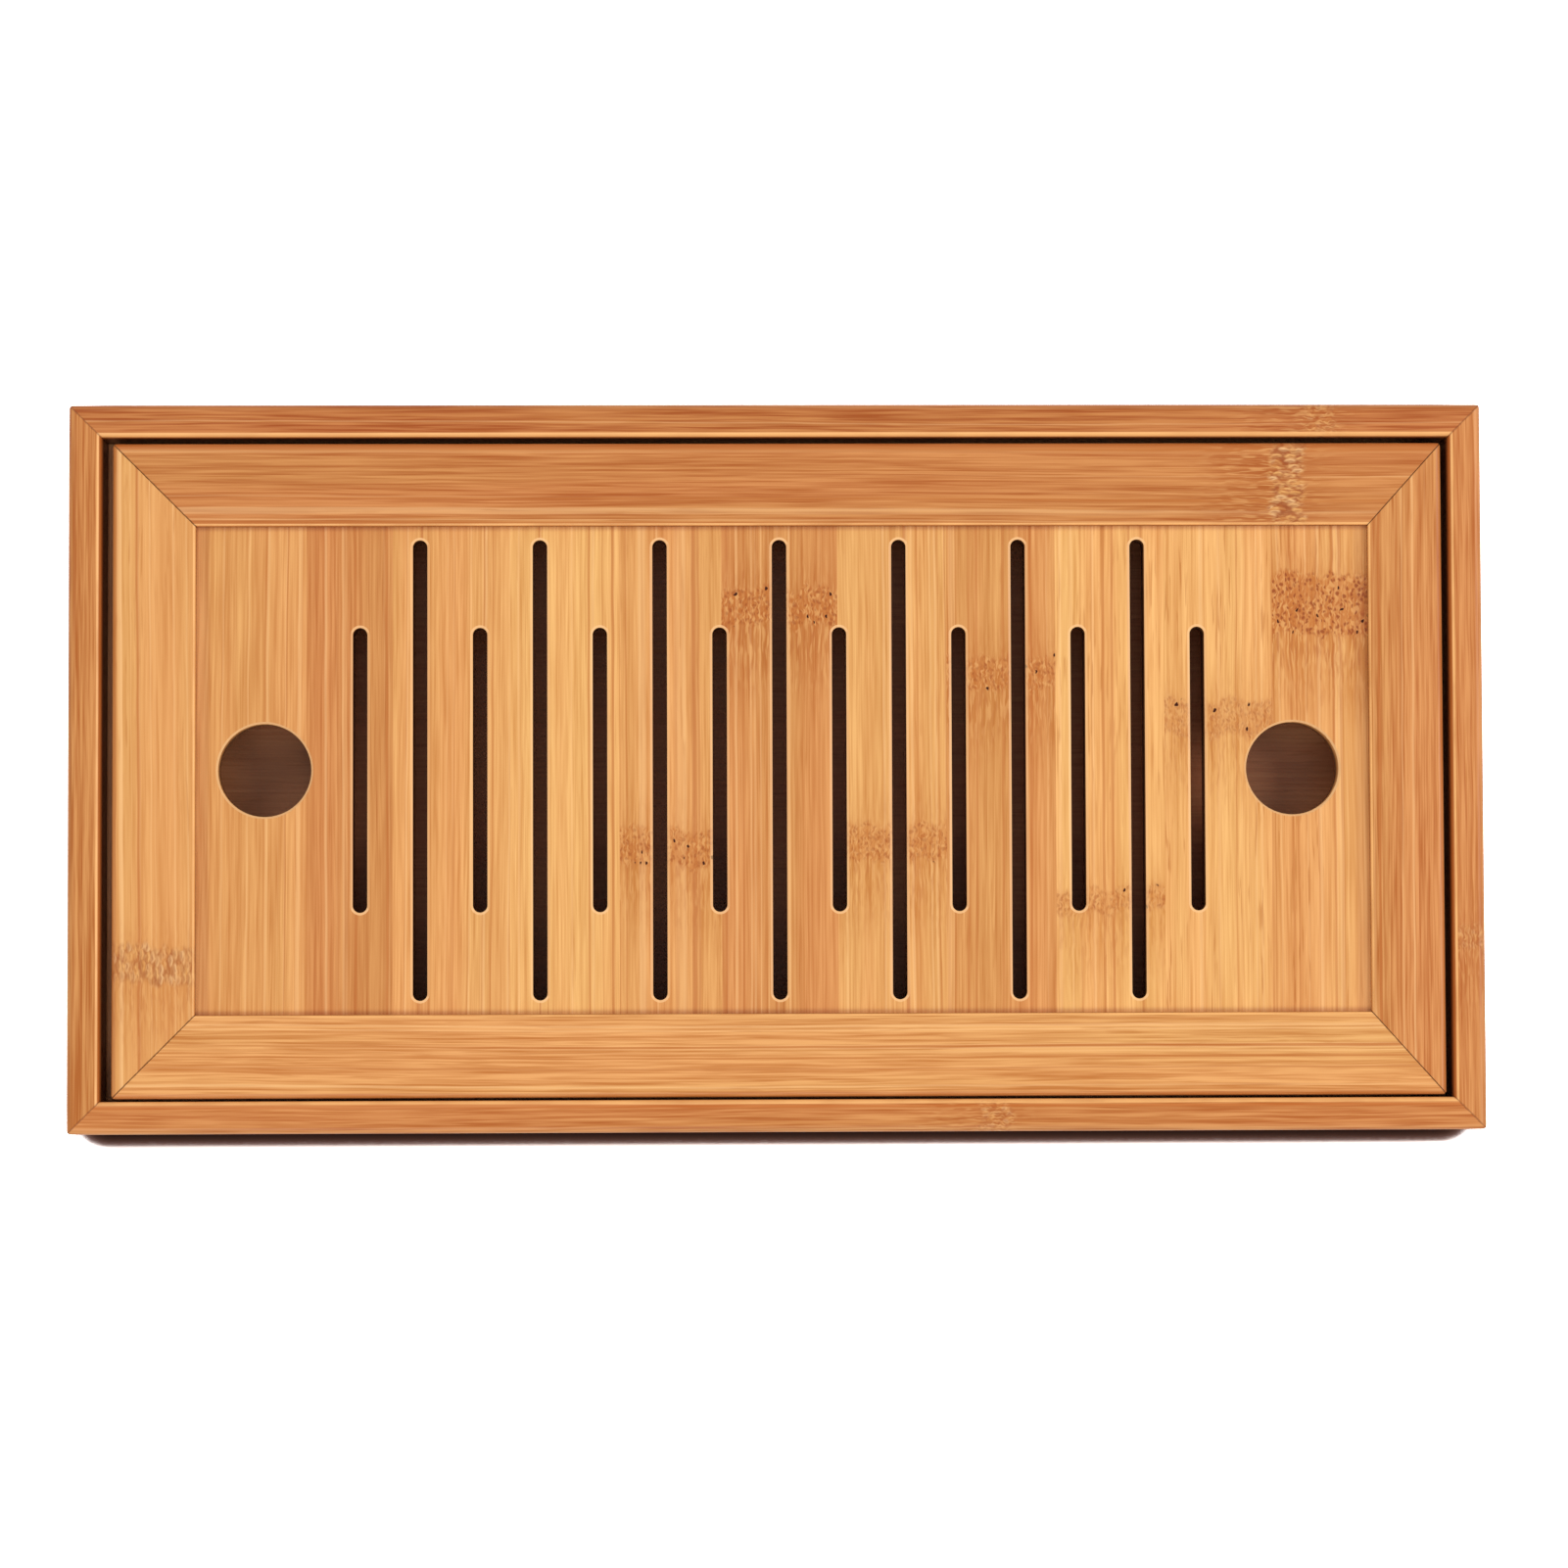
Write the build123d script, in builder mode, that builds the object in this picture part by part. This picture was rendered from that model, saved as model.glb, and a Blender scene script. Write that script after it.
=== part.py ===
"""Gongfu tea tray: a shallow bamboo water box and the slotted bamboo deck that lifts out of it.

Millimetres, +Z up. The origin is on the table, under the middle of the box. +X runs along
the tray and +Y points away from the tea maker, so the side at -Y is the front.
"""

from math import sqrt

from build123d import *
import os

# Water box: overall size and wall section
tray_length = 350.0
tray_width = 180.0
wall_height = 32.0
wall_thickness = 8.0
rim_outer_round = 1.8
rim_inner_round = 1.4
wall_base_chamfer = 0.6
box_corner_round = 1.2

# Floor board, let into a groove round the inside of the walls
floor_thickness = 5.0
floor_setback = 3.0
floor_groove_depth = 4.0
floor_end_play = 0.2
floor_face_play = 0.1
floor_strip_count = 7

# Mitred ledge round the inside of the walls, on which the deck stands
ledge_width = 12.0
ledge_height = 10.5
ledge_arris = 0.5

# Rubber feet, each held by a 2.5 x 16 wood screw that passes through the floor into the ledge
foot_drop = 3.0
foot_radius = 5.5
foot_base_chamfer = 0.6
foot_strip_share = 0.75
foot_pocket_depth = 2.2
foot_pocket_play = 0.25
screw_head_radius = 2.5
screw_head_height = 1.4
screw_shank_radius = 1.25
screw_length = 16.0
screw_point_length = 2.0
screw_hole_play = 0.1
driver_cross_width = 0.7
driver_cross_depth = 0.6
driver_cross_length = 3.4

# Deck frame: the gaps that it keeps inside the walls, and its four mitred rails
deck_gap_left = 2.8
deck_gap_right = 1.8
deck_gap_front = 0.65
deck_gap_back = 1.55
rail_width = 20.5
right_rail_width = 18.4
rail_thickness = 12.5
rail_outer_round = 1.4
rail_inner_round = 0.8
rail_base_chamfer = 0.6
deck_corner_round = 1.2

# Loose tongues hidden in the deck's mitres
key_length = 16.0
key_width = 10.0
key_thickness = 2.4
key_play = 0.1
key_rise = 1.8
key_inset = 15.0

# Slotted panel: glued strips, tongued into the rails
panel_thickness = 7.0
panel_drop = 1.6
panel_play = 0.05
tongue_thickness = 3.0
tongue_length = 5.0
tongue_shoulder = 2.0
tongue_face_play = 0.1
tongue_end_play = 0.4
strip_joint_shares = (0.094, 0.167, 0.267, 0.360, 0.447, 0.546, 0.639, 0.732, 0.825, 0.918)

# Drain slots and the two finger holes, placed from the deck's middle in shares of the opening's length
slot_width = 3.6
slot_pitch_share = 0.051
long_slot_count = 7
long_slot_margin = 3.4
short_slot_count = 8
short_slot_length = 70.5
slot_arris_width = 0.6
slot_arris_depth = 0.2
finger_hole_radius = 11.5
finger_hole_share = 0.438
finger_hole_arris = 0.5

# Glue lines left between two mitred ends
box_glue_line = 0.02
deck_glue_line = 0.15

# Heights of the faces that the pieces share
wall_base = foot_drop
wall_top = wall_base + wall_height
floor_base = wall_base + floor_setback
floor_top = floor_base + floor_thickness
ledge_top = floor_top + ledge_height
deck_top = ledge_top + rail_thickness
panel_top = deck_top - panel_drop
panel_base = panel_top - panel_thickness
tongue_top = panel_top - tongue_shoulder
key_base = ledge_top + key_rise

# Plan sizes that follow from the driving sizes
inner_length = tray_length - 2 * wall_thickness
inner_width = tray_width - 2 * wall_thickness
deck_length = inner_length - deck_gap_left - deck_gap_right
deck_width = inner_width - deck_gap_front - deck_gap_back
deck_x = (deck_gap_left - deck_gap_right) / 2
deck_y = (deck_gap_front - deck_gap_back) / 2
opening_length = deck_length - rail_width - right_rail_width
opening_width = deck_width - 2 * rail_width
opening_x = deck_x + (rail_width - right_rail_width) / 2
long_slot_length = opening_width - 2 * long_slot_margin
slot_pitch = slot_pitch_share * opening_length
finger_hole_x = finger_hole_share * opening_length
floor_length = inner_length + 2 * (floor_groove_depth - floor_end_play)
floor_width = inner_width + 2 * (floor_groove_depth - floor_end_play)
floor_strip_width = floor_width / floor_strip_count
foot_x = inner_length / 2 - ledge_width / 2
foot_y = floor_width / 2 - foot_strip_share * floor_strip_width

os.makedirs("parts", exist_ok=True)


def save(part, name):
    """Label a finished piece and write it under its own name."""
    part.label = name
    export_step(part, f"parts/{name}.step")


def mitred_members(centre, length, width, widths, base, height, rounds, corner_round, glue_line, groove=None):
    """The four members of a mitred frame, as a dictionary of side name to builder.

    widths gives each side's member width. rounds is (outer round, inner round, base chamfer).
    A corner_round of 0 leaves the frame's corners square. groove is (height above the base,
    thickness, depth), cut along each member's inner face.
    """
    frame_x, frame_y = centre
    half_x = length / 2
    half_y = width / 2
    outer_round, inner_round, base_chamfer = rounds
    left, right = frame_x - half_x, frame_x + half_x
    front, back = frame_y - half_y, frame_y + half_y
    outer = [(left, front), (right, front), (right, back), (left, back)]
    inner = [
        (left + widths["left"], front + widths["front"]),
        (right - widths["right"], front + widths["front"]),
        (right - widths["right"], back - widths["back"]),
        (left + widths["left"], back - widths["back"]),
    ]
    sides = {"front": (0, 1), "right": (1, 2), "back": (2, 3), "left": (3, 0)}
    setback = glue_line / sqrt(2)
    members = {}
    for side, (start, end) in sides.items():
        run = (Vector(*outer[end]) - Vector(*outer[start])).normalized()
        inward = Vector(0, 0, 1).cross(run)
        middle = (Vector(*outer[start]) + Vector(*outer[end])) / 2 + Vector(0, 0, base)
        section_plane = Plane(origin=middle, x_dir=inward, z_dir=run)
        member_width = widths[side]
        with BuildPart() as member:
            # Cross-section: rounded top edges, eased base and the routed groove
            with BuildSketch(section_plane):
                with Locations((member_width / 2, height / 2)):
                    Rectangle(member_width, height)
                top_corners = vertices().group_by(Axis.Y)[-1].sort_by(Axis.X)
                fillet(top_corners[0], radius=outer_round)
                fillet(vertices().group_by(Axis.Y)[-1].sort_by(Axis.X)[-1], radius=inner_round)
                chamfer(vertices().group_by(Axis.Y)[0], length=base_chamfer)
                if groove:
                    groove_rise, groove_thickness, groove_depth = groove
                    with Locations((member_width, groove_rise + groove_thickness / 2)):
                        Rectangle(2 * groove_depth, groove_thickness, mode=Mode.SUBTRACT)
            extrude(amount=length, both=True)
            # Plan outline: both ends mitred, less half a glue line each, and any round on the corners
            with BuildSketch(Plane.XY.offset(base)):
                with BuildLine():
                    Polyline(
                        Vector(*outer[start]) + run * setback,
                        Vector(*outer[end]) - run * setback,
                        Vector(*inner[end]) - run * setback,
                        Vector(*inner[start]) + run * setback,
                        close=True,
                    )
                make_face()
                if corner_round:
                    with Locations((frame_x, frame_y)):
                        RectangleRounded(length, width, corner_round, mode=Mode.INTERSECT)
            extrude(amount=height, mode=Mode.INTERSECT)
        members[side] = member
    return members


# Walls of the water box
walls = mitred_members(
    (0, 0),
    tray_length,
    tray_width,
    dict.fromkeys(("front", "right", "back", "left"), wall_thickness),
    wall_base,
    wall_height,
    (rim_outer_round, rim_inner_round, wall_base_chamfer),
    box_corner_round,
    box_glue_line,
    (floor_setback - floor_face_play, floor_thickness + 2 * floor_face_play, floor_groove_depth),
)
for side, wall in walls.items():
    save(wall.part, f"{side}_wall")

# Floor board, with the screws' pilot holes
with BuildPart() as floor_board:
    with BuildSketch(Plane.XY.offset(floor_base)):
        Rectangle(floor_length, floor_width)
    extrude(amount=floor_thickness)
    with BuildSketch(Plane.XY.offset(floor_base)):
        with GridLocations(2 * foot_x, 2 * foot_y, 2, 2):
            Circle(screw_shank_radius + screw_hole_play)
    extrude(amount=floor_thickness, mode=Mode.SUBTRACT)

# The floor's glued strips run along the tray
for number in range(floor_strip_count):
    strip_y = (number + 0.5) * floor_strip_width - floor_width / 2
    with BuildPart() as floor_strip:
        add(floor_board.part)
        with Locations((0, strip_y, floor_base + floor_thickness / 2)):
            Box(floor_length, floor_strip_width, floor_thickness, mode=Mode.INTERSECT)
    save(floor_strip.part, f"floor_strip_{number + 1}")

# Ledge members, glued to the walls and the floor, with blind holes for the foot screws
screw_tip = foot_pocket_depth + screw_length
ledges = mitred_members(
    (0, 0),
    inner_length,
    inner_width,
    dict.fromkeys(("front", "right", "back", "left"), ledge_width),
    floor_top,
    ledge_height,
    (ledge_arris, ledge_arris, ledge_arris),
    0,
    box_glue_line,
)
for side, ledge in ledges.items():
    with BuildPart() as bored_ledge:
        add(ledge.part)
        with BuildSketch(Plane.XY.offset(floor_top)):
            with GridLocations(2 * foot_x, 2 * foot_y, 2, 2):
                Circle(screw_shank_radius + screw_hole_play)
        extrude(amount=screw_tip + screw_hole_play - floor_top, mode=Mode.SUBTRACT)
    save(bored_ledge.part, f"{side}_ledge")

# Rubber foot, turned, with a pocket that keeps the screw's head off the table
with BuildPart() as foot:
    with BuildSketch(Plane.XZ):
        with BuildLine():
            Polyline(
                (screw_shank_radius + screw_hole_play, foot_pocket_depth),
                (screw_head_radius + foot_pocket_play, foot_pocket_depth),
                (screw_head_radius + foot_pocket_play, 0),
                (foot_radius, 0),
                (foot_radius, floor_base),
                (screw_shank_radius + screw_hole_play, floor_base),
                close=True,
            )
        make_face()
        chamfer(vertices().group_by(Axis.Y)[0].sort_by(Axis.X)[-1], length=foot_base_chamfer)
    revolve(axis=Axis.Z)

# Cheese-head screw, turned from its section, with a driver cross in the head
screw_head_face = foot_pocket_depth - screw_head_height
with BuildPart() as screw:
    with BuildSketch(Plane.XZ):
        with BuildLine():
            Polyline(
                (0, screw_head_face),
                (screw_head_radius, screw_head_face),
                (screw_head_radius, foot_pocket_depth),
                (screw_shank_radius, foot_pocket_depth),
                (screw_shank_radius, screw_tip - screw_point_length),
                (0, screw_tip),
                close=True,
            )
        make_face()
    revolve(axis=Axis.Z)
    with BuildSketch(Plane.XY.offset(screw_head_face)):
        Rectangle(driver_cross_length, driver_cross_width)
        Rectangle(driver_cross_width, driver_cross_length)
    extrude(amount=driver_cross_depth, mode=Mode.SUBTRACT)

# One foot under each corner, and the four screws as one group
corners = {
    "front_left": (-foot_x, -foot_y),
    "front_right": (foot_x, -foot_y),
    "back_right": (foot_x, foot_y),
    "back_left": (-foot_x, foot_y),
}
for corner, place in corners.items():
    with BuildPart() as placed_foot:
        with Locations(place):
            add(foot.part)
    save(placed_foot.part, f"{corner}_foot")
with BuildPart() as foot_screws:
    with Locations(*corners.values()):
        add(screw.part)
save(foot_screws.part, "foot_screws")

# Rails of the deck frame
rail_widths = {"front": rail_width, "right": right_rail_width, "back": rail_width, "left": rail_width}
rails = mitred_members(
    (deck_x, deck_y),
    deck_length,
    deck_width,
    rail_widths,
    ledge_top,
    rail_thickness,
    (rail_outer_round, rail_inner_round, rail_base_chamfer),
    deck_corner_round,
    deck_glue_line,
    (
        tongue_top - tongue_thickness - tongue_face_play - ledge_top,
        tongue_thickness + 2 * tongue_face_play,
        tongue_length + tongue_end_play,
    ),
)

# Places of the hidden tongues: across each mitre, key_inset in from the deck's outer corner
key_places = {}
for corner, (side_x, side_y, corner_width) in {
    "front_left": (-1, -1, rail_width),
    "front_right": (1, -1, right_rail_width),
    "back_right": (1, 1, right_rail_width),
    "back_left": (-1, 1, rail_width),
}.items():
    mitre = Vector(-side_x * corner_width, -side_y * rail_width).normalized()
    centre = Vector(deck_x + side_x * deck_length / 2, deck_y + side_y * deck_width / 2) + mitre * key_inset
    key_places[corner] = Plane(
        origin=(centre.X, centre.Y, key_base), x_dir=(mitre.X, mitre.Y, 0), z_dir=(0, 0, 1)
    )

# Rails with the tongues' pockets cut out of their mitred ends
for side, rail in rails.items():
    with BuildPart() as pocketed_rail:
        add(rail.part)
        for key_plane in key_places.values():
            with BuildSketch(key_plane.offset(-key_play)):
                Rectangle(key_width + 2 * key_play, key_length + 2 * key_play)
            extrude(amount=key_thickness + 2 * key_play, mode=Mode.SUBTRACT)
    save(pocketed_rail.part, f"deck_{side}_rail")
for corner, key_plane in key_places.items():
    with BuildPart() as mitre_key:
        with BuildSketch(key_plane):
            Rectangle(key_width, key_length)
        extrude(amount=key_thickness)
    save(mitre_key.part, f"{corner}_mitre_key")

# Slotted panel as one glued board: body, tongue all round, slots and finger holes
with BuildPart() as panel:
    with BuildSketch(Plane.XY.offset(panel_base)):
        with Locations((opening_x, deck_y)):
            Rectangle(opening_length - 2 * panel_play, opening_width - 2 * panel_play)
    extrude(amount=panel_thickness)
    with BuildSketch(Plane.XY.offset(tongue_top)):
        with Locations((opening_x, deck_y)):
            Rectangle(opening_length + 2 * tongue_length, opening_width + 2 * tongue_length)
    extrude(amount=-tongue_thickness)
    with BuildSketch(Plane.XY.offset(panel_top)):
        with Locations((deck_x, deck_y)):
            with GridLocations(2 * slot_pitch, 0, long_slot_count, 1):
                SlotOverall(long_slot_length, slot_width, rotation=90)
            with GridLocations(2 * slot_pitch, 0, short_slot_count, 1):
                SlotOverall(short_slot_length, slot_width, rotation=90)
    extrude(amount=-panel_thickness, mode=Mode.SUBTRACT)
    panel_face = panel.faces().sort_by(Axis.Z)[-1]
    slot_edges = panel_face.inner_wires().edges()
    chamfer(slot_edges, length=slot_arris_width, length2=slot_arris_depth, reference=panel_face)
    with BuildSketch(Plane.XY.offset(panel_top)):
        with Locations((deck_x, deck_y)):
            with GridLocations(2 * finger_hole_x, 0, 2, 1):
                Circle(finger_hole_radius)
    extrude(amount=-panel_thickness, mode=Mode.SUBTRACT)
    hole_edges = panel.faces().sort_by(Axis.Z)[-1].edges().filter_by(GeomType.CIRCLE)
    chamfer(hole_edges.group_by(SortBy.RADIUS)[-1], length=finger_hole_arris)

# The panel's glued strips run across the tray
opening_left = opening_x - opening_length / 2
joints = [opening_left + share * opening_length for share in strip_joint_shares]
panel_left = opening_left - tongue_length
panel_right = opening_left + opening_length + tongue_length
strip_edges = [panel_left, *joints, panel_right]
strip_reach = opening_width + 2 * tongue_length
for number, (left, right) in enumerate(zip(strip_edges, strip_edges[1:]), start=1):
    with BuildPart() as deck_strip:
        add(panel.part)
        with Locations(((left + right) / 2, deck_y, panel_base + panel_thickness / 2)):
            Box(right - left, strip_reach, panel_thickness, mode=Mode.INTERSECT)
    save(deck_strip.part, f"deck_strip_{number:02d}")
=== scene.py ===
"""Looks of the gongfu tea tray: bamboo, rubber and steel materials, camera, light and floor.

Metres, +Z up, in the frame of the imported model. Every CAD piece keeps its own mesh and place.
"""

from math import radians

import bpy
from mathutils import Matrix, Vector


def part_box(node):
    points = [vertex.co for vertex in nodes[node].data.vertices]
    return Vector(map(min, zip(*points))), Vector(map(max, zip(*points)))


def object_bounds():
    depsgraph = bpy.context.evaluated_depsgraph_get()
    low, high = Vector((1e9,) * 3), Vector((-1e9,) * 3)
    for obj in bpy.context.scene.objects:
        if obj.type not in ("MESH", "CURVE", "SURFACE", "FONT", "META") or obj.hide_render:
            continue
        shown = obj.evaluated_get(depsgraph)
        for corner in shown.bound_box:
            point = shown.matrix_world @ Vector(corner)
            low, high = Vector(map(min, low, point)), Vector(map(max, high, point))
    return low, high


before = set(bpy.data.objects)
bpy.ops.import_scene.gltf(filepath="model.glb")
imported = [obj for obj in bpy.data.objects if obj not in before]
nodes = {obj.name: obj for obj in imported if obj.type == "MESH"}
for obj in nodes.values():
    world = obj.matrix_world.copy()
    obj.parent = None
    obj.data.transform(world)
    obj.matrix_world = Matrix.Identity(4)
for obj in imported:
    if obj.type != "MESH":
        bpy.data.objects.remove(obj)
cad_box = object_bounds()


def srgb(red, green, blue):
    """A colour written in 0 to 255 screen values, as the linear colour that shaders take."""
    channels = []
    for value in (red / 255, green / 255, blue / 255):
        channels.append(value / 12.92 if value <= 0.04045 else ((value + 0.055) / 1.055) ** 2.4)
    return (*channels, 1.0)


class Graph:
    """Short calls for building a shader node tree."""

    def __init__(self, tree):
        self.tree = tree

    def add(self, kind, **settings):
        node = self.tree.nodes.new(kind)
        for key, value in settings.items():
            setattr(node, key, value)
        return node

    def feed(self, socket, value):
        """Link a socket to another, or set its value."""
        if isinstance(value, bpy.types.NodeSocket):
            self.tree.links.new(value, socket)
        else:
            socket.default_value = value

    def fill(self, node, *values):
        """Feed a node's first sockets in turn."""
        for socket, value in zip(node.inputs, values):
            self.feed(socket, value)
        return node

    def math(self, operation, *values):
        return self.fill(self.add("ShaderNodeMath", operation=operation), *values).outputs[0]

    def vector(self, operation, *values):
        return self.fill(self.add("ShaderNodeVectorMath", operation=operation), *values).outputs[0]

    def split(self, vector):
        return self.fill(self.add("ShaderNodeSeparateXYZ"), vector).outputs

    def join(self, *values):
        return self.fill(self.add("ShaderNodeCombineXYZ"), *values).outputs[0]

    def smooth(self, value, low, high, start=0.0, end=1.0):
        """Ease from start to end while value goes from low to high."""
        node = self.add("ShaderNodeMapRange", interpolation_type="SMOOTHSTEP")
        return self.fill(node, value, low, high, start, end).outputs[0]

    def between(self, share, start, end):
        """The value that a share from 0 to 1 marks between start and end."""
        return self.math("MULTIPLY_ADD", share, end - start, start)

    def noise(self, vector, cells, seed, detail=2.0):
        """Noise from 0 to 1, with so many cells per metre along each axis."""
        node = self.add("ShaderNodeTexNoise", noise_dimensions="4D")
        self.feed(node.inputs["Vector"], self.vector("MULTIPLY", vector, cells))
        self.feed(node.inputs["W"], seed)
        node.inputs["Scale"].default_value = 1.0
        node.inputs["Detail"].default_value = detail
        return node.outputs["Fac"]

    def cells(self, vector):
        """Random cells in a plane, about one to each square unit of the vector."""
        node = self.add("ShaderNodeTexVoronoi", voronoi_dimensions="2D", feature="F1")
        self.feed(node.inputs["Vector"], vector)
        node.inputs["Scale"].default_value = 1.0
        return node.outputs

    def mix(self, share, first, second, blend="MIX"):
        node = self.add("ShaderNodeMix", data_type="RGBA", blend_type=blend)
        self.feed(node.inputs["Factor"], share)
        self.feed(node.inputs[6], first)
        self.feed(node.inputs[7], second)
        return node.outputs[2]

    def darken(self, share, color, kept):
        """A colour that keeps, where share is 1, only so much of its red, green and blue."""
        return self.mix(share, color, self.mix(1.0, color, (*kept, 1.0), "MULTIPLY"))

    def principled(self, color, roughness, height, bump, depth, **constants):
        """The material's surface, with a relief of the given strength and depth."""
        relief = self.add("ShaderNodeBump")
        relief.inputs["Strength"].default_value = bump
        relief.inputs["Distance"].default_value = depth
        self.feed(relief.inputs["Height"], height)
        shader = self.add("ShaderNodeBsdfPrincipled")
        self.feed(shader.inputs["Base Color"], color)
        self.feed(shader.inputs["Roughness"], roughness)
        self.feed(shader.inputs["Normal"], relief.outputs[0])
        for name, value in constants.items():
            shader.inputs[name.replace("_", " ")].default_value = value
        self.feed(self.add("ShaderNodeOutputMaterial").inputs["Surface"], shader.outputs[0])


def empty_material(name):
    material = bpy.data.materials.new(name)
    material.use_nodes = True
    material.node_tree.nodes.clear()
    return material


# Bamboo. A pattern is a noise: its cells per metre along the grain, those across it, and what it
# adds to the piece's seed. An edge is where a pattern starts to show and where it shows fully

# How fibres stray, and how far to either side. In a knuckle they curl, which scales calm
DRIFT, DRIFT_REACH = (3.0, 6.0, 5.0), 0.003
SWAY, SWAY_REACH = (40.0, 90.0, 9.0), 0.00025
WANDER, WANDER_REACH = (220.0, 300.0, 7.0), 0.0005
CURL, CURL_REACH, CALM_CURL = (600.0, 600.0, 79.0), 0.0010, 0.4

# Streaks, from fibre bundles of four widths: pattern, and how strongly it shows. They sway the
# share of the pale tone round its mean, and a knuckle's halo takes from it
STREAKS = (
    ((0.25, 80.0, 11.0), 0.4),
    ((6.0, 480.0, 29.0), 0.3),
    ((22.0, 1250.0, 23.0), 1.7),
    ((60.0, 2600.0, 37.0), 1.7),
)
NOISE_MEAN, PALE_MEAN, HALO_SHADE = 0.5, 0.6, 0.55
WARM_AREAS, WARM_EDGE = (5.0, 110.0, 17.0), (0.3, 0.7)
WARM, COOL = (1.01, 0.97, 0.95, 1.0), (0.98, 1.02, 0.96, 1.0)

# Thin lines that follow single bundles, pale and reddish: pattern, tint, strength
THIN_LINES = (
    ((0.8, 700.0, 41.0), srgb(255, 204, 142), 0.7),
    ((0.8, 1100.0, 53.0), srgb(255, 200, 136), 0.8),
    ((0.8, 700.0, 67.0), srgb(186, 102, 40), 1.3),
    ((0.8, 1100.0, 61.0), srgb(190, 110, 46), 1.3),
)
LINE_EDGE = (0.66, 0.76)

# Short brown dashes where vessels surface, in some areas
VESSELS, VESSEL_EDGE = (90.0, 1900.0, 71.0), (0.58, 0.68)
VESSEL_AREAS, VESSEL_AREA_EDGE = (14.0, 120.0, 83.0), (0.44, 0.58)
VESSEL_BROWN = srgb(184, 106, 38)

# A knuckle: the pattern of its band's edges, how far they stray and how softly they end, the
# reach of the halo round it, and how much shorter that is on the side of +X or +Y
RAGGED, RAGGED_REACH, BAND_SOFT = (0.0, 260.0, 3.0), 0.005, 0.001
HALO_REACH, HALO_SHORTER = 0.026, 0.012

# Broken fibres, dark and pale, in the halo and in the band: pattern, tint, strength
HALO_FIBRES = (
    ((260.0, 2000.0, 89.0), srgb(184, 106, 52), 0.50),
    ((220.0, 2200.0, 97.0), srgb(244, 186, 116), 0.50),
)
BAND_FIBRES = (
    ((620.0, 2000.0, 103.0), srgb(172, 92, 38), 0.75),
    ((560.0, 2200.0, 109.0), srgb(246, 190, 118), 0.90),
)
BROKEN_EDGE = (0.50, 0.64)

# In the band, bundles are seen end on, one to a cell. The cells per metre along the grain and
# across it, and the share of brown, go from those of dots to those of scales
DOT_CELLS, SCALE_CELLS = (720.0, 1100.0), (340.0, 860.0)
DOT_BAND, SCALE_BAND, BAND_BROWN = 0.47, 0.20, srgb(192, 106, 38)

# Dots: smallest and largest radius and the softness round it, in cells, the chances between
# which they go from hidden to full, and their share and colour
DOT_RADII, DOT_EDGE = (0.14, 0.32), (-0.10, 0.24)
DOT_CHANCES, DOT_SHARE, DOT_BROWN = (0.20, 0.50), 0.85, srgb(150, 68, 18)

# Scales: two tones, a dark rim and a painted shade on the underside. A point is on the underside if
# it is nearer to the middle of its cell than the point a quarter of a cell to the side of -X or -Y
OCHRE_SCALE, CREAM_SCALE = srgb(228, 164, 88), srgb(255, 208, 148)
RIM_EDGE, SCALE_RIM = (0.30, 0.64), srgb(150, 74, 34)
LOWER_POINT, UNDERSIDE_SHADE_EDGE = (0.0, -0.25, 0.0), (0.02, 0.20)
UNDERSIDE_SHADE_SHARE, SCALE_UNDERSIDE_SHADE = 0.62, srgb(138, 64, 26)

# How strongly scales show, the chance above which one shows fully, and what the faintest keeps
SCALE_SHARE, SCALE_CHANCE, FAINTEST_SCALE = 0.8, 0.6, 0.4

# Pores: the radius where they start to fade and where they end, the band in which they open, the
# chance above which a cell has one, and the scales above which none show
PORE_EDGE, PORE_BAND, PORE_CHANCE, PORE_SCALES = (0.26, 0.42), (0.1, 0.5), 0.972, 0.4
PORE_BROWN = srgb(62, 20, 6)

# Roughness in the fine fibres, and what fibres and dots do to the height
SMOOTHEST, ROUGHEST = 0.28, 0.48
MIDDLE_HEIGHT, FINE_HEIGHT, DOT_DEPTH = 0.5, 0.35, 0.3


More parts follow.
